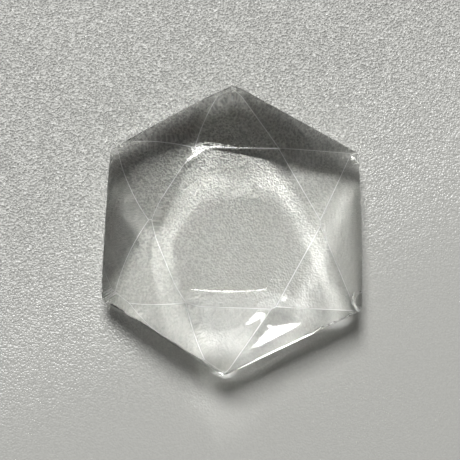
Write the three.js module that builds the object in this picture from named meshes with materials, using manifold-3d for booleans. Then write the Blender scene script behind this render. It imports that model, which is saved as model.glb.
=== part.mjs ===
// A clear quartz stone, cut and polished by hand on both sides as a six-pointed star.
// Its outline has six sides and a thin girdle. A six-sided table lies on top and a smaller one
// underneath. Between each table and the girdle lie six star facets, which run out to the outline's
// corners, and six steeper girdle facets, which run out to its sides. The stone isn't cut evenly, so
// every facet reaches the girdle at a height of its own.
// Millimetres, +Z up. The stone rests on its lower table, and the origin lies below the middle of
// its outline.
import * as THREE from 'three';
import { mergeVertices } from 'three/addons/utils/BufferGeometryUtils.js';
import Module from 'manifold-3d';

// Heights.
const BELOW_GIRDLE = 3.48; // from the lower table to the girdle's middle
const ABOVE_GIRDLE = 3.46; // from the girdle's middle to the middle of the upper table
const TABLE_LEAN = { x: 0.0116, y: -0.0062 }; // how much the upper table falls, as a slope

// Outline corners, clockwise from the top one, each with the radius it is worn to. The upper star
// facet reaches the corner at the height top above the girdle's middle, the lower one at foot.
const OUTLINE = [
  { x: 0.12, y: 17.3, worn: 0.35, top: 0.56, foot: -0.19 },
  { x: 14.91, y: 8.97, worn: 0.12, top: 0.58, foot: -0.97 },
  { x: 15.02, y: -9.67, worn: 0.45, top: 0.67, foot: -0.71 },
  { x: -1.01, y: -17.27, worn: 0.15, top: 0.82, foot: -0.67 },
  { x: -15.22, y: -8.4, worn: 0.9, top: 0.93, foot: -0.77 },
  { x: -14.4, y: 9.38, worn: 0.45, top: 0.3, foot: -0.76 },
];
// Sides of the outline. Side n runs from corner n to the next one and bows out at its middle, where
// the upper girdle facet reaches it at the height top and the lower one at foot.
const SIDE = [
  { bow: 0, top: 0.55, foot: 0 },
  { bow: 0.25, top: 0.21, foot: -0.9 },
  { bow: 0, top: 0.8, foot: -0.42 },
  { bow: 0, top: 1.36, foot: -0.88 },
  { bow: 0.1, top: 0.48, foot: -1.21 },
  { bow: 0, top: 0.86, foot: -0.95 },
];

// Table corners, above and below. Corner n lies inside the middle of side n.
const TABLE = [
  { x: 5.26, y: 8.86 },
  { x: 9.87, y: 0.09 },
  { x: 4.46, y: -9.67 },
  { x: -5.66, y: -9.67 },
  { x: -10.21, y: 0.33 },
  { x: -4.62, y: 9.15 },
];
const LOWER_TABLE = [
  { x: 4.11, y: 8.69 },
  { x: 7.69, y: 0.95 },
  { x: 3.84, y: -7.28 },
  { x: -5.68, y: -7.05 },
  { x: -8.87, y: 0.35 },
  { x: -4.65, y: 10.01 },
];

// The upper side was rubbed in a shallow bowl, which took down one table corner and the far tips.
// The rubbing leaves the table along a curve of this radius, at this slope, towards this heading.
const BOWL = { corner: 5, reach: 0.76, curve: 10.53, slope: 17.8, heading: 121.8 };

// A shell-shaped chip, and nicks along the side next to it: balls bitten out, with their middles'
// heights above the girdle's middle and how finely each ball is divided.
const BITES = [
  { x: 15.3, y: -8.6, above: 1.7, radius: 1.7, detail: 4 },
  { x: 10.3, y: -11.93, above: 0.93, radius: 0.3, detail: 1 },
  { x: 11.1, y: -11.55, above: 0.87, radius: 0.24, detail: 1 },
  { x: 11.8, y: -11.22, above: 0.83, radius: 0.2, detail: 1 },
  { x: 13.7, y: -10.3, above: 0.8, radius: 0.22, detail: 1 },
];

// Working sizes.
const CUTTER = 60; // side of the block that grinds one facet, larger than the stone
const SPARE = 1; // how much taller than the finished stone the sawn blank is
const CORNER_STEPS = 5; // straight pieces in a worn corner's arc
const BOWL_RINGS = 10;
const BOWL_SIDES = 60;
const MERGE_DISTANCE = 1e-6;
const HEIGHT = BELOW_GIRDLE + ABOVE_GIRDLE;
const SIDES = OUTLINE.length;
const UP = new THREE.Vector3(0, 0, 1);

const wasm = await Module();
wasm.setup();

/** A closed three.js geometry as a manifold solid. */
function toSolid(geometry) {
  const bare = geometry.clone();
  bare.deleteAttribute('normal');
  bare.deleteAttribute('uv');
  const merged = mergeVertices(bare, MERGE_DISTANCE);
  return new wasm.Manifold(
    new wasm.Mesh({
      numProp: 3,
      vertProperties: new Float32Array(merged.attributes.position.array),
      triVerts: new Uint32Array(merged.index.array),
    }),
  );
}

/** A manifold solid as a flat-shaded three.js geometry. */
function toGeometry(solid) {
  const mesh = solid.getMesh();
  const indexed = new THREE.BufferGeometry();
  indexed.setAttribute('position', new THREE.BufferAttribute(mesh.vertProperties, 3));
  indexed.setIndex(new THREE.BufferAttribute(mesh.triVerts, 1));
  const flat = indexed.toNonIndexed();
  flat.computeVertexNormals();
  return flat;
}

function corner(n) {
  return new THREE.Vector2(OUTLINE[n % SIDES].x, OUTLINE[n % SIDES].y);
}

/** Middle of side n, pushed out by the side's bow. */
function sideMiddle(n) {
  const from = corner(n);
  const to = corner(n + 1);
  const outward = new THREE.Vector2(from.y - to.y, to.x - from.x).normalize();
  return from.add(to).multiplyScalar(0.5).addScaledVector(outward, SIDE[n].bow);
}

/** The outline: bowed sides joined by worn corners. */
function outlineShape() {
  const shape = new THREE.Shape();
  for (let n = 0; n < SIDES; n += 1) {
    const at = corner(n);
    const before = sideMiddle((n + SIDES - 1) % SIDES);
    const after = sideMiddle(n);
    const toBefore = before.clone().sub(at).normalize();
    const toAfter = after.clone().sub(at).normalize();
    const halfAngle = Math.acos(toBefore.dot(toAfter)) / 2;
    const setback = OUTLINE[n].worn / Math.tan(halfAngle);
    const start = at.clone().addScaledVector(toBefore, setback);
    const end = at.clone().addScaledVector(toAfter, setback);
    if (n === 0) {
      shape.moveTo(start.x, start.y);
    } else {
      shape.lineTo(start.x, start.y);
    }
    shape.quadraticCurveTo(at.x, at.y, end.x, end.y);
    shape.lineTo(after.x, after.y);
  }
  return shape;
}

/** The sawn blank: the outline, a little taller than the finished stone. */
function blank() {
  const settings = { depth: HEIGHT + SPARE, bevelEnabled: false, curveSegments: CORNER_STEPS };
  return toSolid(new THREE.ExtrudeGeometry(outlineShape(), settings));
}

/** Grinds away what lies beyond the plane through a point with the given outward normal. */
function grind(stone, point, normal) {
  const cutter = new THREE.BoxGeometry(CUTTER, CUTTER, CUTTER);
  cutter.translate(0, 0, CUTTER / 2);
  const turn = new THREE.Quaternion().setFromUnitVectors(UP, normal);
  cutter.applyQuaternion(turn);
  cutter.translate(point.x, point.y, point.z);
  return stone.subtract(toSolid(cutter));
}

/** Grinds the flat facet through three points, on the side away from the stone's middle. */
function grindFacet(stone, a, b, c) {
  const normal = b.clone().sub(a).cross(c.clone().sub(a)).normalize();
  const middle = new THREE.Vector3(0, 0, BELOW_GIRDLE);
  if (normal.dot(a.clone().sub(middle)) < 0) {
    normal.negate();
  }
  return grind(stone, a, normal);
}

/** Grinds the twelve facets between a table and the girdle, which they reach at top or at foot. */
function grindStar(stone, table, tableHeight, reached) {
  const tableCorner = (n) => {
    const { x, y } = table[(n + SIDES) % SIDES];
    return new THREE.Vector3(x, y, tableHeight);
  };
  let ground = stone;
  for (let n = 0; n < SIDES; n += 1) {
    const here = OUTLINE[n];
    const next = OUTLINE[(n + 1) % SIDES];
    const point = new THREE.Vector3(here.x, here.y, BELOW_GIRDLE + here[reached]);
    ground = grindFacet(ground, point, tableCorner(n - 1), tableCorner(n));
    const middle = sideMiddle(n);
    const along = new THREE.Vector3(next.x - here.x, next.y - here.y, next[reached] - here[reached]);
    const low = new THREE.Vector3(middle.x, middle.y, BELOW_GIRDLE + SIDE[n][reached]);
    ground = grindFacet(ground, low, low.clone().add(along), tableCorner(n));
  }
  return ground;
}

/** Grinds the upper table, which leans a little. */
function grindTable(stone) {
  const normal = new THREE.Vector3(TABLE_LEAN.x, TABLE_LEAN.y, 1).normalize();
  return grind(stone, new THREE.Vector3(0, 0, HEIGHT), normal);
}

/** The inside of the bowl: the cap of a large ball, standing on a thick disc. */
function bowlSolid() {
  const heading = THREE.MathUtils.degToRad(BOWL.heading);
  const slope = THREE.MathUtils.degToRad(BOWL.slope);
  const radius = BOWL.curve / Math.sin(slope);
  const rim = TABLE[BOWL.corner];
  const inward = BOWL.reach + BOWL.curve;
  const middle = { x: rim.x - inward * Math.cos(heading), y: rim.y - inward * Math.sin(heading) };
  const reach = CUTTER / 2;
  const profile = [new THREE.Vector2(0, -CUTTER), new THREE.Vector2(reach, -CUTTER)];
  for (let ring = 0; ring <= BOWL_RINGS; ring += 1) {
    const out = reach * (1 - ring / BOWL_RINGS);
    profile.push(new THREE.Vector2(out, Math.sqrt(radius * radius - out * out)));
  }
  const cap = new THREE.LatheGeometry(profile, BOWL_SIDES);
  cap.rotateX(Math.PI / 2);
  cap.translate(middle.x, middle.y, HEIGHT - radius * Math.cos(slope));
  return toSolid(cap);
}

/** The chip at one corner and the nicks along the side next to it. */
function addDamage(stone) {
  let damaged = stone;
  for (const { x, y, above, radius, detail } of BITES) {
    const bite = new THREE.IcosahedronGeometry(radius, detail);
    bite.translate(x, y, BELOW_GIRDLE + above);
    damaged = damaged.subtract(toSolid(bite));
  }
  return damaged;
}

function crystal() {
  let stone = blank();
  stone = grindStar(stone, TABLE, HEIGHT, 'top');
  stone = grindStar(stone, LOWER_TABLE, 0, 'foot');
  stone = grindTable(stone);
  stone = stone.intersect(bowlSolid());
  stone = addDamage(stone);
  const material = new THREE.MeshStandardMaterial({
    color: 0xf1f3ee,
    roughness: 0.04,
    metalness: 0,
    transparent: true,
    opacity: 0.35,
  });
  const mesh = new THREE.Mesh(toGeometry(stone), material);
  mesh.name = 'crystal';
  return mesh;
}

const part = new THREE.Group();
part.add(crystal());

export default part;
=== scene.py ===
"""A clear quartz stone, cut and polished by hand on both sides as a six-pointed star.

The stone is one closed surface. Every facet is a very large ball, so it is almost flat. In each
direction from the stone's middle the surface lies at the nearest of these balls, and the edges
between them are rounded a little, as hand polishing leaves them. A smaller ball rubs down one
corner of the upper table, and thins the far tips. A chip and a few nicks are small balls bitten out
of the stone. The upper edges are worn dull, and the upper side facets keep ripples of the polish.
"""
import math

import bmesh
import bpy
import numpy as np
from mathutils import Matrix, Vector


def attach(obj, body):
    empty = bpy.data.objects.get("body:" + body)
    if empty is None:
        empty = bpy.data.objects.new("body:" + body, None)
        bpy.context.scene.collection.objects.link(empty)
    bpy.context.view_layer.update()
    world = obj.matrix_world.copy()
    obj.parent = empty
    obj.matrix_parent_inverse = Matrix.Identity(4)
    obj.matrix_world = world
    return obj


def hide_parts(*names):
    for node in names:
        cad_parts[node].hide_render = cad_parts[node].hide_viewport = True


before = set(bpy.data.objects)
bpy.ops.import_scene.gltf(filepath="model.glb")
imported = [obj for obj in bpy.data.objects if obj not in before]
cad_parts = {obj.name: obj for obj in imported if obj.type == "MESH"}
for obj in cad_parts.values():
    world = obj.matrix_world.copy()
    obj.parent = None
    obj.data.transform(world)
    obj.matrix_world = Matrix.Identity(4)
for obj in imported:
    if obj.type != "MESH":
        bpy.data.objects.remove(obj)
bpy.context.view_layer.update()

bl_info = {
    "name": "Quartz star stone",
    "version": (1, 0, 0),
    "blender": (4, 5, 0),
    "location": "3D View > Sidebar > Quartz",
    "description": "A hand-polished clear quartz stone and the plain stage that it lies on",
    "category": "Object",
}

MM = 0.001
BODY = "root"
CAD_NODE = "crystal"

# Outline corners in plan, clockwise from the one at +Y, and the radius each is worn to.
OUTLINE = MM * np.array(
    [(0.12, 17.30), (14.91, 8.97), (15.02, -9.67), (-1.01, -17.27), (-15.22, -8.40), (-14.40, 9.38)]
)
WORN = MM * np.array([0.35, 0.12, 0.45, 0.15, 0.90, 0.45])
# How far each side bows out at its middle. Side n runs from corner n to the next one.
SIDE_BOW = MM * np.array([0.0, 0.25, 0.0, 0.0, 0.10, 0.0])
# Table corners in plan, above and below. Corner n lies inside the middle of side n.
TABLE = MM * np.array(
    [(5.26, 8.86), (9.87, 0.09), (4.46, -9.67), (-5.66, -9.67), (-10.21, 0.33), (-4.62, 9.15)]
)
LOWER_TABLE = MM * np.array(
    [(4.11, 8.69), (7.69, 0.95), (3.84, -7.28), (-5.68, -7.05), (-8.87, 0.35), (-4.65, 10.01)]
)
# Heights, from the girdle's middle, at which the facets reach the outline: the star facets at its
# corners and the girdle facets at the middles of its sides.
CORNER_TOPS = MM * np.array([0.56, 0.58, 0.67, 0.82, 0.93, 0.30])
SIDE_TOPS = MM * np.array([0.55, 0.21, 0.80, 1.36, 0.48, 0.86])
CORNER_FEET = MM * np.array([-0.19, -0.97, -0.71, -0.67, -0.77, -0.76])
SIDE_FEET = MM * np.array([0.00, -0.90, -0.42, -0.88, -1.21, -0.95])
SIDES = len(OUTLINE)
# The upper table's corner that is rubbed down.
RUBBED_CORNER = 5

# Balls bitten out of the stone: a shell-shaped chip, and nicks along the side next to it. Each row
# is a ball's middle, with its height above the girdle's middle.
BITES = MM * np.array(
    [
        (15.3, -8.6, 1.7),
        (10.3, -11.93, 0.93),
        (11.1, -11.55, 0.87),
        (11.8, -11.22, 0.83),
        (13.7, -10.3, 0.80),
    ]
)
BITE_RADII = MM * np.array([1.7, 0.30, 0.24, 0.20, 0.22])
# The grid is split within this many radii of a bite, down to this share of its radius.
BITE_MARGIN = 1.25
BITE_DETAIL = 0.06

# Marks that the finish reads: worn edges, and how strongly each side's upper facet is rippled. The
# upper facets are the table, the star facets and then the side facets.
WEAR = "edge_wear"
RIPPLES = "ripples"
SIDE_RIPPLES = np.array([0.1, 2.5, 0.3, 0.1, 2.5, 0.1])
FIRST_SIDE_FACET = 1 + SIDES

# Grid of one facet: rows run from its outline to its middle, closest together at the outline, and
# columns along each of its edges, fewer of them along an edge shorter than SHORT_EDGE.
ROWS = 15
ROW_GRADE = 2.0
COLUMNS = 27
SHORT_COLUMNS = 5
SHORT_EDGE = 1.0 * MM
# Straight pieces in a bowed side, and the turns in degrees of the planes round a worn corner.
BOW_STEPS = 4
WORN_TURNS = (-20.0, 0.0, 20.0)

UP = np.array([0.0, 0.0, 1.0])
# A direction that no facet faces, half the side of the square that a facet is cut from, and the
# reach given to a ball that a direction misses.
SKEW = np.array([0.3, 0.5, 0.8])
WIDE = 0.1
FAR_AWAY = 1.0
# The least convexity, per metre, so that every facet has a ball.
FLATTEST = 0.02
# Points closer than these count as one: while a facet is cut, round its outline, and where facets
# meet.
SAME_POINT = 1e-8
SAME_CORNER = 4e-8
SEAM = 2e-8
# Edges sharper than this are drawn sharp: the bites' rims, and places along the girdle.
RIM_ANGLE = math.radians(30.0)

# Haze on the quartz: its patches per metre, and the noise levels at which it starts and is full.
HAZE_SCALE = 220.0
HAZE_RANGE = (0.55, 0.8)
# Scratches: how many per metre, which way they run, how long they are drawn out, and their depth.
SCRATCH_SCALE = 5200.0
SCRATCH_TURN = math.radians(34.0)
SCRATCH_STRETCH = (1.0, 0.04, 1.0)
SCRATCH_DEPTH = 0.002 * MM
# Ripples, which fan out about the stone's middle.
RIPPLES_PER_RADIAN = 38.0
RIPPLE_DEPTH = 0.05 * MM

# Painted key-light glints: the floor's grain fades against this direction, and is darkest and lightest
# at these noise levels.
PAINTED_GLINT_DIRECTION = (-0.40, 0.92, 0.0)
GRAIN_LEVELS = (0.3, 0.7)
# Width of the camera's sensor, in millimetres.
SENSOR = 36.0
# How many faces light may cross or bounce off, and how many of them as mirrors.
LONGEST_PATH = 24
GLOSSY_PATH = 12


# ---------------------------------------------------------------- the stone's surface


def unit(vector):
    """The same direction at length one."""
    return vector / np.linalg.norm(vector)


def outward_plane(points):
    """The unit normal and distance of the plane through three points, facing away from the origin."""
    normal = unit(np.cross(points[1] - points[0], points[2] - points[0]))
    distance = normal @ points[0]
    if distance < 0:
        return -normal, -distance
    return normal, distance


def at_height(plan_point, height):
    """A point in plan, lifted to a height above the girdle's middle."""
    return np.array([plan_point[0], plan_point[1], height])


def side_line(side):
    """Where one side of the outline starts, its chord, and the way it bows out."""
    start = OUTLINE[side]
    chord = OUTLINE[(side + 1) % SIDES] - start
    return start, chord, unit(np.array([-chord[1], chord[0]]))


def side_points(side):
    """Points along one side of the outline, on a parabola: bow * 4 * s * (1 - s), out from the chord."""
    start, chord, outward = side_line(side)
    steps = BOW_STEPS if SIDE_BOW[side] > 0 else 1
    share = np.linspace(0.0, 1.0, steps + 1)[:, None]
    return start + chord * share + outward * SIDE_BOW[side] * 4.0 * share * (1.0 - share)


def side_middle(side):
    """The middle of a side, pushed out by its bow, and the side's chord."""
    start, chord, outward = side_line(side)
    return start + chord / 2 + outward * SIDE_BOW[side], chord


def star_planes(table, table_height, corner_heights):
    """The six facets from a table's sides to the outline's corners."""
    planes = []
    for n in range(SIDES):
        before = at_height(table[n - 1], table_height)
        after = at_height(table[n], table_height)
        planes.append(outward_plane([at_height(OUTLINE[n], corner_heights[n]), before, after]))
    return planes


def side_planes(table, table_height, corner_heights, side_heights):
    """The six facets from a table's corners to the outline's sides. Each follows its side's slope."""
    planes = []
    for n in range(SIDES):
        middle, chord = side_middle(n)
        slope = corner_heights[(n + 1) % SIDES] - corner_heights[n]
        foot = at_height(middle, side_heights[n])
        along = at_height(middle + chord, side_heights[n] + slope)
        planes.append(outward_plane([foot, along, at_height(table[n], table_height)]))
    return planes


def worn_planes(corner):
    """Upright planes that touch the circle to which one corner of the outline is worn."""
    point = OUTLINE[corner]
    to_before = unit(OUTLINE[corner - 1] - point)
    to_after = unit(OUTLINE[(corner + 1) % SIDES] - point)
    inward = unit(to_before + to_after)
    half_angle = math.acos(to_before @ to_after) / 2
    centre = point + inward * WORN[corner] / math.sin(half_angle)
    planes = []
    for turn in WORN_TURNS:
        angle = math.atan2(-inward[1], -inward[0]) + math.radians(turn)
        normal = np.array([math.cos(angle), math.sin(angle), 0.0])
        planes.append((normal, normal[:2] @ centre + WORN[corner]))
    return planes


def girdle_planes():
    """Upright planes along the bowed sides and round the worn corners."""
    planes = []
    for n in range(SIDES):
        points = side_points(n)
        for start, end in zip(points[:-1], points[1:]):
            upright = [at_height(start, 0.0), at_height(end, 0.0), at_height(start, MM)]
            planes.append(outward_plane(upright))
        planes += worn_planes(n)
    return planes


def stone_planes(cut):
    """All facets as planes about the girdle's middle, with their convexity and their half."""
    top = cut.above_girdle
    foot = -cut.below_girdle
    leaning = unit(np.array([cut.table_lean[0], cut.table_lean[1], 1.0]))
    groups = [
        ([(leaning, leaning[2] * top)], cut.table_convexity, False),
        (star_planes(TABLE, top, CORNER_TOPS), cut.star_convexity, False),
        (side_planes(TABLE, top, CORNER_TOPS, SIDE_TOPS), cut.side_convexity, False),
        (girdle_planes(), FLATTEST, False),
        ([(-UP, -foot)], cut.lower_table_convexity, True),
        (star_planes(LOWER_TABLE, foot, CORNER_FEET), cut.lower_star_convexity, True),
        (side_planes(LOWER_TABLE, foot, CORNER_FEET, SIDE_FEET), cut.lower_side_convexity, True),
    ]
    normals = np.array([normal for planes, _, _ in groups for normal, _ in planes])
    distances = np.array([distance for planes, _, _ in groups for _, distance in planes])
    convexity = np.concatenate([np.full(len(planes), value) for planes, value, _ in groups])
    is_lower = np.concatenate([np.full(len(planes), value) for planes, _, value in groups])
    return normals, distances, np.maximum(convexity, FLATTEST), is_lower


def rubbed_ball(cut):
    """The ball that rubs down a table corner. It leaves the table along a curve of a given radius."""
    heading = np.array([math.cos(cut.rubbed_heading), math.sin(cut.rubbed_heading), 0.0])
    radius = cut.rubbed_curve / math.sin(cut.rubbed_slope)
    start = at_height(TABLE[RUBBED_CORNER], cut.above_girdle) - cut.rubbed_reach * heading
    outward = math.sin(cut.rubbed_slope) * heading + math.cos(cut.rubbed_slope) * UP
    return start - radius * outward, radius


def clip(outline, normal, distance):
    """What is left of a flat outline behind a plane, with near-equal corners made one."""
    depth = outline @ normal - distance
    kept = []
    for n, point in enumerate(outline):
        following = (n + 1) % len(outline)
        if depth[n] <= SAME_POINT:
            kept.append(point)
        fall = depth[n] - depth[following]
        crosses = (depth[n] < -SAME_POINT) != (depth[following] < -SAME_POINT)
        if crosses and abs(fall) > SAME_POINT and 0.0 < depth[n] / fall < 1.0:
            kept.append(point + (outline[following] - point) * depth[n] / fall)
    if len(kept) < 3:
        return np.zeros((0, 3))
    kept = np.array(kept)
    apart = np.linalg.norm(kept - np.roll(kept, 1, axis=0), axis=1) > SAME_CORNER
    return kept[apart]


def facet_outlines(normals, distances):
    """Each facet's outline: a large square on its plane, cut back by every other plane."""
    outlines = []
    for n, (normal, distance) in enumerate(zip(normals, distances)):
        across = unit(np.cross(normal, SKEW))
        up = np.cross(normal, across)
        square = np.array([across + up, up - across, -across - up, across - up])
        outline = normal * distance + WIDE * square
        for other, (cut_normal, cut_distance) in enumerate(zip(normals, distances)):
            if other != n and len(outline):
                outline = clip(outline, cut_normal, cut_distance)
        outlines.append(outline if len(outline) >= 3 else np.zeros((0, 3)))
    return outlines


def facet_balls(outlines, normals, convexity):
    """Ball centres and radii: each ball stands on its facet's corners and rises rho^2 / 2R between."""
    radii = 1.0 / convexity
    middles = np.array([outline.mean(axis=0) for outline in outlines])
    rho_squared = np.array([((o - m) ** 2).sum(axis=1).mean() for o, m in zip(outlines, middles)])
    rise = rho_squared / (2.0 * radii) - radii
    return middles + normals * rise[:, None], radii


def facet_grid(outline):
    """Points and quads that fill one facet: along each edge, then inward to the middle as t^grade."""
    middle = outline.mean(axis=0)
    inward = np.linspace(0.0, 1.0, ROWS)[:, None, None] ** ROW_GRADE
    points = []
    quads = []
    offset = 0
    for start, end in zip(outline, np.roll(outline, -1, axis=0)):
        columns = COLUMNS if np.linalg.norm(end - start) > SHORT_EDGE else SHORT_COLUMNS
        along = (1.0 - np.cos(np.pi * np.linspace(0.0, 1.0, columns)))[:, None] / 2.0
        edge = start + (end - start) * along
        points.append((edge + (middle - edge) * inward).reshape(-1, 3))
        corner = offset + np.arange(ROWS - 1)[:, None] * columns + np.arange(columns - 1)
        ring = np.stack([corner, corner + 1, corner + columns + 1, corner + columns], axis=-1)
        quads.append(ring.reshape(-1, 4))
        offset += ROWS * columns
    return np.concatenate(points), np.concatenate(quads)


def soft_least(distances, softness):
    """Each row's smallest value, less s * log(sum(exp((least - d) / s))), which rounds the edges."""
    least = distances.min(axis=1)
    return least - softness * np.log(np.exp((least[:, None] - distances) / softness).sum(axis=1))


def ball_reach(directions, centres, radii):
    """Where each direction enters and leaves each ball: u.c -+ sqrt((u.c)^2 - |c|^2 + r^2)."""
    towards = directions @ centres.T
    inside = towards**2 - (centres**2).sum(axis=1) + radii**2
    half = np.sqrt(np.maximum(inside, 0.0))
    return towards - half, towards + half, inside > 0


def bite_depths(directions):
    """How far each direction runs before it meets a chip or nick."""
    near, _, met = ball_reach(directions, BITES, BITE_RADII)
    return np.where(met & (near > 0), near, np.inf).min(axis=1)


def ways_out(directions, balls):
    """How far each direction runs before it leaves each ball."""
    _, far, met = ball_reach(directions, *balls)
    return np.where(met & (far > 0), far, FAR_AWAY)


def stone_distance(directions, balls, is_lower, cut):
    """How far the surface is from the girdle's middle: the soft least of the ways out of the balls."""
    far = ways_out(directions, balls)
    upper = soft_least(far[:, ~is_lower], cut.edge_softness)
    lower = soft_least(far[:, is_lower], cut.lower_edge_softness)
    smooth = soft_least(np.stack([upper, lower], axis=1), cut.edge_softness)
    return np.minimum(smooth, bite_depths(directions))


def upper_marks(directions, balls, is_lower, cut):
    """How worn the upper facets' edges are, and how rippled the upper side facets are.

    The wear is exp(-(step / edge_wear)^2), where step is the way on from one facet's ball to the next
    one's. The rubbed ball isn't among these balls, so the worn edges run on across it.
    """
    far = ways_out(directions, balls)
    upper = far[:, ~is_lower]
    order = upper.argsort(axis=1)[:, :2]
    nearest, following = np.take_along_axis(upper, order, axis=1).T
    is_upper = nearest < far[:, is_lower].min(axis=1)
    side = order[:, 0] - FIRST_SIDE_FACET
    on_side = is_upper & (side >= 0) & (side < SIDES)
    wear = np.where(is_upper, np.exp(-(((following - nearest) / cut.edge_wear) ** 2)), 0.0)
    return wear, np.where(on_side, SIDE_RIPPLES[side.clip(0, SIDES - 1)], 0.0)


def split_near(shape, centre, radius, longest):
    """Splits the long edges round a spot, so that what is cut there comes out clean."""
    near = [
        edge
        for edge in shape.edges
        if (edge.verts[0].co - Vector(centre)).length < radius and edge.calc_length() > longest
    ]
    bmesh.ops.subdivide_edges(shape, edges=near, cuts=2, use_grid_fill=True)


def flat_stone(outlines):
    """The flat facets' grids as one closed shape, finer round the worn places."""
    points = []
    quads = []
    offset = 0
    for outline in outlines:
        facet_points, facet_quads = facet_grid(outline)
        points.append(facet_points)
        quads.append(facet_quads + offset)
        offset += len(facet_points)
    mesh = bpy.data.meshes.new("quartz_stone")
    mesh.from_pydata(np.concatenate(points).tolist(), [], np.concatenate(quads).tolist())
    shape = bmesh.new()
    shape.from_mesh(mesh)
    bmesh.ops.remove_doubles(shape, verts=shape.verts, dist=SEAM)
    for centre, radius in zip(BITES, BITE_RADII):
        split_near(shape, centre, radius * BITE_MARGIN, radius * BITE_DETAIL)
    bmesh.ops.triangulate(shape, faces=[face for face in shape.faces if len(face.verts) > 4])
    shape.to_mesh(mesh)
    shape.free()
    return mesh


def stone_mesh(cut):
    """The whole stone as one closed mesh, resting on the floor."""
    normals, distances, convexity, is_lower = stone_planes(cut)
    outlines = facet_outlines(normals, distances)
    shown = np.array([len(outline) > 0 for outline in outlines])
    outlines = [outline for outline in outlines if len(outline)]
    centres, radii = facet_balls(outlines, normals[shown], convexity[shown])
    rubbed_centre, rubbed_radius = rubbed_ball(cut)
    balls = np.vstack([centres, rubbed_centre]), np.append(radii, rubbed_radius)
    mesh = flat_stone(outlines)
    flat = np.empty(len(mesh.vertices) * 3)
    mesh.vertices.foreach_get("co", flat)
    flat = flat.reshape(-1, 3)
    directions = flat / np.linalg.norm(flat, axis=1)[:, None]
    on_lower = np.append(is_lower[shown], False)
    surface = directions * stone_distance(directions, balls, on_lower, cut)[:, None]
    surface[:, 2] -= surface[:, 2].min()
    mesh.vertices.foreach_set("co", surface.ravel())
    marks = upper_marks(directions, (centres, radii), is_lower[shown], cut)
    for name, values in zip((WEAR, RIPPLES), marks):
        mesh.attributes.new(name, "FLOAT", "POINT").data.foreach_set("value", values)
    finish_mesh(mesh)
    return mesh


def finish_mesh(mesh):
    """Merges what fell together, turns the faces outward, and keeps only the sharpest edges sharp."""
    shape = bmesh.new()
    shape.from_mesh(mesh)
    bmesh.ops.remove_doubles(shape, verts=shape.verts, dist=SEAM)
    bmesh.ops.dissolve_degenerate(shape, edges=shape.edges, dist=SEAM)
    bmesh.ops.recalc_face_normals(shape, faces=shape.faces)
    open_edges = sum(1 for edge in shape.edges if not edge.is_manifold)
    for edge in shape.edges:
        edge.smooth = edge.calc_face_angle(0.0) < RIM_ANGLE
    for face in shape.faces:
        face.smooth = True
    shape.to_mesh(mesh)
    shape.free()
    if open_edges:
        raise RuntimeError(f"the stone's surface has {open_edges} open edges")


# ---------------------------------------------------------------- finishes


def set_inputs(node, values):
    """Sets several of a node's input sockets, each by its name or its place in the row."""
    for name, value in values.items():
        node.inputs[name].default_value = value


def add_node(tree, kind, values, **settings):
    """Adds a shader node with some of its settings and sockets set."""
    node = tree.nodes.new("ShaderNode" + kind)
    for name, value in settings.items():
        setattr(node, name, value)
    set_inputs(node, values)
    return node


def link_chain(tree, *steps):
    """Joins nodes in a row. Each step is the input that the node is entered by, the node, and the
    output that it is left by. The first node isn't entered and the last one isn't left."""
    for (_, source, output), (entry, target, _) in zip(steps, steps[1:]):
        tree.links.new(source.outputs[output], target.inputs[entry])


def new_material(name):
    """A new material, with its node tree and its Principled shader."""
    material = bpy.data.materials.new(name)
    material.use_nodes = True
    return material, material.node_tree, material.node_tree.nodes["Principled BSDF"]


def add_worn_roughness(tree, shader, place, finish):
    """Faint haze in patches, and dull worn edges: roughness = wear * worn roughness + haze."""
    haze = add_node(tree, "TexNoise", {"Scale": HAZE_SCALE, "Detail": 3.0, "Roughness": 0.6})
    levels = {"From Min": HAZE_RANGE[0], "From Max": HAZE_RANGE[1], "To Min": 0.0, "To Max": finish.haze}
    patches = add_node(tree, "MapRange", levels)
    worn = add_node(tree, "Attribute", {}, attribute_name=WEAR)
    roughness = add_node(tree, "Math", {1: finish.worn_roughness}, operation="MULTIPLY_ADD")
    link_chain(
        tree,
        (None, place, "Object"),
        ("Vector", haze, "Fac"),
        ("Value", patches, "Result"),
        (2, roughness, "Value"),
        ("Roughness", shader, None),
    )
    link_chain(tree, (None, worn, "Fac"), (0, roughness, None))


def add_polish_marks(tree, shader, place, finish):
    """Fine scratches along one direction, and ripples that fan out across the side facets."""
    turned = {"Rotation": (0.0, 0.0, SCRATCH_TURN), "Scale": SCRATCH_STRETCH}
    stretch = add_node(tree, "Mapping", turned)
    scratches = add_node(tree, "TexNoise", {"Scale": SCRATCH_SCALE, "Detail": 2.0, "Roughness": 0.7})
    scratch_bump = add_node(tree, "Bump", {"Strength": finish.scratches, "Distance": SCRATCH_DEPTH})
    in_plan = add_node(tree, "VectorMath", {1: (1.0, 1.0, 0.0)}, operation="MULTIPLY")
    outward = add_node(tree, "VectorMath", {}, operation="NORMALIZE")
    spokes = add_node(tree, "TexNoise", {"Scale": RIPPLES_PER_RADIAN, "Detail": 1.0, "Roughness": 0.6})
    rippled = add_node(tree, "Attribute", {}, attribute_name=RIPPLES)
    depth = add_node(tree, "Math", {}, operation="MULTIPLY")
    ripple_bump = add_node(tree, "Bump", {"Strength": finish.ripples, "Distance": RIPPLE_DEPTH})
    link_chain(
        tree,
        (None, place, "Object"),
        ("Vector", stretch, "Vector"),
        ("Vector", scratches, "Fac"),
        ("Height", scratch_bump, "Normal"),
        ("Normal", ripple_bump, "Normal"),
        ("Normal", shader, None),
    )
    link_chain(
        tree,
        (None, place, "Object"),
        (0, in_plan, "Vector"),
        (0, outward, "Vector"),
        ("Vector", spokes, "Fac"),
        (0, depth, "Value"),
        ("Height", ripple_bump, None),
    )
    link_chain(tree, (None, rippled, "Fac"), (1, depth, None))


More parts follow.
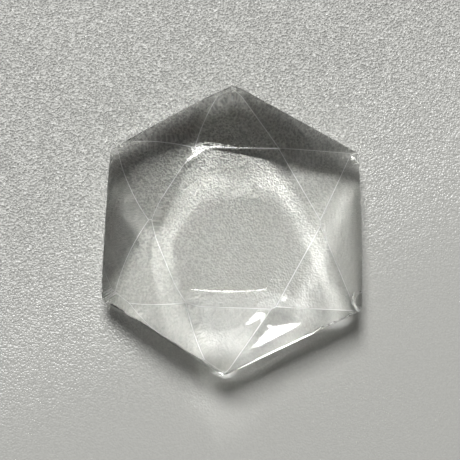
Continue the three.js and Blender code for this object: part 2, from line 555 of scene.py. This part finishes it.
def quartz_material(finish):
    """Clear quartz: plain transmission, IOR and absorption, with the marks of hand polish."""
    material, tree, shader = new_material("clear_quartz")
    clear = {"Base Color": (*finish.tint, 1.0), "Transmission Weight": 1.0, "IOR": finish.ior}
    set_inputs(shader, clear)
    place = add_node(tree, "TexCoord", {})
    add_worn_roughness(tree, shader, place, finish)
    add_polish_marks(tree, shader, place, finish)
    body = {"Color": (*finish.absorption_colour, 1.0), "Density": finish.absorption}
    absorb = add_node(tree, "VolumeAbsorption", body)
    link_chain(tree, (None, absorb, "Volume"), ("Volume", tree.nodes["Material Output"], None))
    return material


def grain_and_glint_shades(tree, stage):
    """Dark and light shades of the floor's colour, for the grain's low and high places: the sheet's own
    grain, with its light shade also a painted glint of the key light.
    """
    shades = add_node(tree, "ValToRGB", {})
    contrasts = (1.0 - stage.grain_and_glint_contrast, 1.0 + stage.grain_and_glint_contrast)
    for element, level, shade in zip(shades.color_ramp.elements, GRAIN_LEVELS, contrasts):
        element.position = level
        element.color = (*(channel * shade for channel in stage.floor_colour), 1.0)
    return shades


def floor_material(stage):
    """A plain pale sheet with a fine grain, painted with the key light's glints: its contrast and bump
    fade from that end to the other.
    """
    material, tree, shader = new_material("pale_sheet")
    set_inputs(shader, {"Roughness": stage.floor_roughness, "Specular IOR Level": stage.floor_gloss})
    place = add_node(tree, "TexCoord", {})
    grain = add_node(tree, "TexNoise", {"Scale": 1.0 / stage.grain_pitch, "Detail": 0.0})
    # Painted glints: the grain's colour contrast and its bump are full towards the key light's end and
    # grow weaker away from it.
    towards = add_node(tree, "VectorMath", {1: PAINTED_GLINT_DIRECTION}, operation="DOT_PRODUCT")
    span = {"From Min": -stage.painted_glint_fade, "From Max": stage.painted_glint_fade, "To Min": stage.painted_glint_least}
    fade = add_node(tree, "MapRange", span, interpolation_type="SMOOTHSTEP")
    strength = add_node(tree, "Math", {1: stage.grain_strength}, operation="MULTIPLY")
    shades = grain_and_glint_shades(tree, stage)
    mix = add_node(tree, "Mix", {}, data_type="RGBA")
    mix.inputs["A"].default_value = (*stage.floor_colour, 1.0)
    bump = add_node(tree, "Bump", {"Distance": stage.grain_pitch})
    link_chain(tree, (None, place, "Object"), (0, towards, "Value"), ("Value", fade, None))
    link_chain(
        tree,
        (None, fade, "Result"),
        (0, strength, "Value"),
        ("Strength", bump, "Normal"),
        ("Normal", shader, None),
    )
    link_chain(
        tree,
        (None, place, "Object"),
        ("Vector", grain, "Fac"),
        ("Fac", shades, "Color"),
        ("B", mix, "Result"),
        ("Base Color", shader, None),
    )
    link_chain(tree, (None, grain, "Fac"), ("Height", bump, None))
    link_chain(tree, (None, fade, "Result"), ("Factor", mix, None))
    return material


# ---------------------------------------------------------------- stage


def heading(azimuth, elevation):
    """The unit vector towards a place in the sky. Azimuth 0 is +Y and runs towards +X."""
    return Vector(
        (
            math.sin(azimuth) * math.cos(elevation),
            math.cos(azimuth) * math.cos(elevation),
            math.sin(elevation),
        )
    )


def place_facing(thing, position, target):
    """Stands a light or camera at a position, looking at a target."""
    thing.location = position
    thing.rotation_euler = (Vector(target) - Vector(position)).to_track_quat("-Z", "Y").to_euler()


def add_softbox(name, towards, distance, width, height, power):
    """A rectangular soft light that faces the stone."""
    light = bpy.data.lights.new(name, "AREA")
    light.shape = "RECTANGLE"
    light.size = width
    light.size_y = height
    light.energy = power
    lamp = bpy.data.objects.new(name, light)
    bpy.context.scene.collection.objects.link(lamp)
    place_facing(lamp, towards * distance, (0.0, 0.0, 0.0))


def add_floor(stage):
    """The plain floor, a hair below the stone."""
    half = stage.floor_size / 2
    mesh = bpy.data.meshes.new("floor")
    height = -stage.floor_gap
    plan = [(-half, -half), (half, -half), (half, half), (-half, half)]
    mesh.from_pydata([(x, y, height) for x, y in plan], [], [(0, 1, 2, 3)])
    mesh.materials.append(floor_material(stage))
    floor = bpy.data.objects.new("floor", mesh)
    bpy.context.scene.collection.objects.link(floor)
    return floor


def add_world(stage):
    """A dim, even room."""
    world = bpy.data.worlds.new("room")
    bpy.context.scene.world = world
    world.use_nodes = True
    background = world.node_tree.nodes["Background"]
    set_inputs(background, {"Color": (*stage.room_colour, 1.0), "Strength": stage.room_light})


def add_camera(stage, girdle_height):
    """The camera: nearly straight above with +Y up the picture, framing frame_width at the girdle."""
    camera = bpy.data.cameras.new("camera")
    viewer = bpy.data.objects.new("camera", camera)
    bpy.context.scene.collection.objects.link(viewer)
    back = Vector(
        (
            math.sin(stage.camera_side),
            -math.sin(stage.camera_tilt),
            math.cos(stage.camera_tilt) * math.cos(stage.camera_side),
        )
    ).normalized()
    right = Vector((0.0, 1.0, 0.0)).cross(back).normalized()
    viewer.location = Vector((stage.aim[0], stage.aim[1], girdle_height)) + back * stage.camera_distance
    viewer.rotation_euler = Matrix((right, back.cross(right), back)).transposed().to_euler()
    camera.sensor_width = SENSOR
    camera.lens = SENSOR * stage.camera_distance / stage.frame_width
    camera.clip_start = MM
    bpy.context.scene.camera = viewer


def set_render_look():
    """Light crosses many faces of a clear stone, so its paths are long and bright spots unclamped."""
    scene = bpy.context.scene
    scene.view_settings.view_transform = "Standard"
    scene.cycles.max_bounces = LONGEST_PATH
    scene.cycles.transmission_bounces = LONGEST_PATH
    scene.cycles.glossy_bounces = GLOSSY_PATH
    scene.cycles.sample_clamp_indirect = 0.0
    scene.cycles.blur_glossy = 0.0


# ---------------------------------------------------------------- settings


class QuartzCut(bpy.types.PropertyGroup):
    """The sizes that the stone is cut to."""

    below_girdle: bpy.props.FloatProperty(
        name="Below girdle", description="From the lower table to the girdle's middle",
        default=0.00340, unit="LENGTH")
    above_girdle: bpy.props.FloatProperty(
        name="Above girdle", description="From the girdle's middle to the middle of the upper table",
        default=0.00346, unit="LENGTH")
    table_lean: bpy.props.FloatVectorProperty(
        name="Table lean", description="How much the upper table falls towards +X and +Y, as a slope",
        size=2, default=(0.0116, -0.0062))
    table_convexity: bpy.props.FloatProperty(
        name="Table convexity",
        description="One over the radius of the upper table's ball, per metre",
        default=0.25)
    lower_table_convexity: bpy.props.FloatProperty(
        name="Lower table convexity",
        description="One over the radius of the lower table's ball, per metre",
        default=1.78)
    star_convexity: bpy.props.FloatProperty(
        name="Star convexity",
        description="One over the radius of the upper star facets' balls, per metre",
        default=0.31)
    lower_star_convexity: bpy.props.FloatProperty(
        name="Lower star convexity",
        description="One over the radius of the lower star facets' balls, per metre",
        default=6.50)
    side_convexity: bpy.props.FloatProperty(
        name="Side convexity",
        description="One over the radius of the upper side facets' balls, per metre",
        default=0.50)
    lower_side_convexity: bpy.props.FloatProperty(
        name="Lower side convexity",
        description="One over the radius of the lower side facets' balls, per metre",
        default=0.10)
    edge_softness: bpy.props.FloatProperty(
        name="Edge softness", description="How far polishing has rounded the upper edges",
        default=0.00004, unit="LENGTH")
    lower_edge_softness: bpy.props.FloatProperty(
        name="Lower edge softness", description="How far polishing has rounded the lower edges",
        default=0.00002, unit="LENGTH")
    edge_wear: bpy.props.FloatProperty(
        name="Edge wear", description="How deep handling has worn the upper edges",
        default=0.000023, min=0.000001, unit="LENGTH")
    rubbed_reach: bpy.props.FloatProperty(
        name="Rubbed reach", description="How far in from the rubbed table corner the rubbing starts",
        default=0.00076, unit="LENGTH")
    rubbed_curve: bpy.props.FloatProperty(
        name="Rubbed curve", description="Radius in plan of the curve along which the rubbing starts",
        default=0.01053, unit="LENGTH")
    rubbed_slope: bpy.props.FloatProperty(
        name="Rubbed slope", description="How steeply the rubbed corner falls away where it starts",
        default=math.radians(17.8), subtype="ANGLE", unit="ROTATION")
    rubbed_heading: bpy.props.FloatProperty(
        name="Rubbed heading", description="Which way the rubbed corner falls, from +X towards +Y",
        default=math.radians(121.8), subtype="ANGLE", unit="ROTATION")


class QuartzFinish(bpy.types.PropertyGroup):
    """The clearness and polish of the quartz."""

    tint: bpy.props.FloatVectorProperty(
        name="Tint", description="Colour that each face passes", subtype="COLOR", size=3,
        default=(0.995, 0.995, 0.99), min=0.0, max=1.0)
    ior: bpy.props.FloatProperty(
        name="IOR", description="Index of refraction of quartz", default=1.544)
    absorption_colour: bpy.props.FloatVectorProperty(
        name="Absorption colour", description="Colour that passes through the body of the stone",
        subtype="COLOR", size=3, default=(0.93, 0.95, 0.88), min=0.0, max=1.0)
    absorption: bpy.props.FloatProperty(
        name="Absorption", description="Density of the absorption, per metre", default=10.0)
    haze: bpy.props.FloatProperty(
        name="Haze", description="Roughness of the dullest patches of the polish", default=0.012)
    scratches: bpy.props.FloatProperty(
        name="Scratches", description="Strength of the polishing scratches", default=0.15)
    worn_roughness: bpy.props.FloatProperty(
        name="Worn roughness", description="Roughness that wear gives to the facets' edges", default=0.6)
    ripples: bpy.props.FloatProperty(
        name="Ripples", description="Strength of the ripples across the side facets", default=1.0)


class QuartzStage(bpy.types.PropertyGroup):
    """The floor, lights and camera."""

    floor_colour: bpy.props.FloatVectorProperty(
        name="Floor colour", description="Colour of the plain floor", subtype="COLOR", size=3,
        default=(0.60, 0.60, 0.568), min=0.0, max=1.0)
    floor_size: bpy.props.FloatProperty(
        name="Floor size", description="Side of the square floor", default=6.0, unit="LENGTH")
    floor_gap: bpy.props.FloatProperty(
        name="Floor gap", description="Air between the floor and the stone's flat face",
        default=0.0001, unit="LENGTH")
    floor_roughness: bpy.props.FloatProperty(
        name="Floor roughness", description="Roughness of the floor's surface", default=0.25)
    floor_gloss: bpy.props.FloatProperty(
        name="Floor gloss", description="Specular level of the floor's surface", default=0.5)
    grain_pitch: bpy.props.FloatProperty(
        name="Grain pitch", description="Size of the floor's fine grain", default=0.0002, unit="LENGTH")
    grain_strength: bpy.props.FloatProperty(
        name="Grain strength", description="How steep the floor's fine grain is", default=1.0)
    # The grain's contrast is partly the sheet's own grain and partly painted glints; its fade and least
    # share make the painted glints strongest at the key light's end.
    grain_and_glint_contrast: bpy.props.FloatProperty(
        name="Grain contrast", description="How much the grain's colour varies about the floor's",
        default=0.28)
    painted_glint_fade: bpy.props.FloatProperty(
        name="Grain fade", description="Half the distance over which the grain fades",
        default=0.02, unit="LENGTH")
    painted_glint_least: bpy.props.FloatProperty(
        name="Grain least", description="Share of the grain that is left where it is weakest",
        default=0.1)
    key_azimuth: bpy.props.FloatProperty(
        name="Key azimuth", description="Where the key light stands, from +Y towards +X",
        default=math.radians(-10.7), subtype="ANGLE", unit="ROTATION")
    key_elevation: bpy.props.FloatProperty(
        name="Key elevation", description="How high the key light stands",
        default=math.radians(55.8), subtype="ANGLE", unit="ROTATION")
    key_distance: bpy.props.FloatProperty(
        name="Key distance", description="From the stone to the key light", default=0.8, unit="LENGTH")
    key_width: bpy.props.FloatProperty(
        name="Key width", description="Width of the key light's panel", default=0.29, unit="LENGTH")
    key_height: bpy.props.FloatProperty(
        name="Key height", description="Height of the key light's panel", default=0.40, unit="LENGTH")
    key_power: bpy.props.FloatProperty(
        name="Key power", description="Power of the key light, in watts", default=5.9)
    fill_azimuth: bpy.props.FloatProperty(
        name="Fill azimuth", description="Where the broad fill light stands, from +Y towards +X",
        default=math.radians(-90.0), subtype="ANGLE", unit="ROTATION")
    fill_elevation: bpy.props.FloatProperty(
        name="Fill elevation", description="How high the fill light stands",
        default=math.radians(35.0), subtype="ANGLE", unit="ROTATION")
    fill_distance: bpy.props.FloatProperty(
        name="Fill distance", description="From the stone to the fill light", default=1.0, unit="LENGTH")
    fill_width: bpy.props.FloatProperty(
        name="Fill width", description="Width of the fill light's panel", default=2.8, unit="LENGTH")
    fill_height: bpy.props.FloatProperty(
        name="Fill height", description="Height of the fill light's panel", default=1.4, unit="LENGTH")
    fill_power: bpy.props.FloatProperty(
        name="Fill power", description="Power of the fill light, in watts", default=2.7)
    room_colour: bpy.props.FloatVectorProperty(
        name="Room colour", description="Colour of the room's dim light", subtype="COLOR", size=3,
        default=(1.0, 1.0, 0.97), min=0.0, max=1.0)
    room_light: bpy.props.FloatProperty(
        name="Room light", description="Strength of the room's dim light", default=0.01)
    camera_tilt: bpy.props.FloatProperty(
        name="Camera tilt", description="How far the camera leans from straight above towards -Y",
        default=math.radians(10.20), subtype="ANGLE", unit="ROTATION")
    camera_side: bpy.props.FloatProperty(
        name="Camera side", description="How far the camera leans from straight above towards +X",
        default=math.radians(-1.56), subtype="ANGLE", unit="ROTATION")
    camera_distance: bpy.props.FloatProperty(
        name="Camera distance", description="From the girdle's middle to the camera",
        default=0.18, unit="LENGTH")
    frame_width: bpy.props.FloatProperty(
        name="Frame width", description="How much the picture spans at the girdle",
        default=0.0539, unit="LENGTH")
    aim: bpy.props.FloatVectorProperty(
        name="Aim", description="Point in plan that the camera looks at", size=2,
        default=(-0.00028, -0.0002), unit="LENGTH")


# ---------------------------------------------------------------- operators


class QUARTZ_OT_cut_stone(bpy.types.Operator):
    """Cuts and polishes the quartz stone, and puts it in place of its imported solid"""

    bl_idname = "quartz.cut_stone"
    bl_label = "Cut the stone"

    def execute(self, context):
        scene = context.scene
        mesh = stone_mesh(scene.quartz_cut)
        mesh.materials.append(quartz_material(scene.quartz_finish))
        stone = bpy.data.objects.new("quartz_stone", mesh)
        scene.collection.objects.link(stone)
        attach(stone, BODY)
        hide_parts(CAD_NODE)
        return {"FINISHED"}


class QUARTZ_OT_set_stage(bpy.types.Operator):
    """Sets up the plain floor, the soft lights, the dim room and the camera"""

    bl_idname = "quartz.set_stage"
    bl_label = "Set the stage"

    def execute(self, context):
        stage = context.scene.quartz_stage
        add_floor(stage)
        add_softbox(
            "key",
            heading(stage.key_azimuth, stage.key_elevation),
            stage.key_distance,
            stage.key_width,
            stage.key_height,
            stage.key_power,
        )
        add_softbox(
            "fill",
            heading(stage.fill_azimuth, stage.fill_elevation),
            stage.fill_distance,
            stage.fill_width,
            stage.fill_height,
            stage.fill_power,
        )
        add_world(stage)
        add_camera(stage, context.scene.quartz_cut.below_girdle)
        set_render_look()
        return {"FINISHED"}


class QUARTZ_PT_panel(bpy.types.Panel):
    """Lists the settings and the steps"""

    bl_idname = "QUARTZ_PT_panel"
    bl_label = "Quartz star stone"
    bl_space_type = "VIEW_3D"
    bl_region_type = "UI"
    bl_category = "Quartz"

    def draw(self, context):
        scene = context.scene
        for settings, step in (
            (scene.quartz_cut, QUARTZ_OT_cut_stone.bl_idname),
            (scene.quartz_finish, None),
            (scene.quartz_stage, QUARTZ_OT_set_stage.bl_idname),
        ):
            box = self.layout.box()
            for name in settings.bl_rna.properties.keys():
                if name not in {"rna_type", "name"}:
                    box.prop(settings, name)
            if step:
                box.operator(step)


CLASSES = (
    QuartzCut,
    QuartzFinish,
    QuartzStage,
    QUARTZ_OT_cut_stone,
    QUARTZ_OT_set_stage,
    QUARTZ_PT_panel,
)


def register():
    """Registers the classes and hangs the settings on the scene."""
    for item in CLASSES:
        bpy.utils.register_class(item)
    bpy.types.Scene.quartz_cut = bpy.props.PointerProperty(type=QuartzCut)
    bpy.types.Scene.quartz_finish = bpy.props.PointerProperty(type=QuartzFinish)
    bpy.types.Scene.quartz_stage = bpy.props.PointerProperty(type=QuartzStage)


def unregister():
    """Takes the settings and classes away again."""
    del bpy.types.Scene.quartz_stage
    del bpy.types.Scene.quartz_finish
    del bpy.types.Scene.quartz_cut
    for item in reversed(CLASSES):
        bpy.utils.unregister_class(item)


def main():
    """Makes the stone and its stage."""
    register()
    bpy.ops.quartz.cut_stone()
    bpy.ops.quartz.set_stage()


if __name__ == "__main__":
    main()
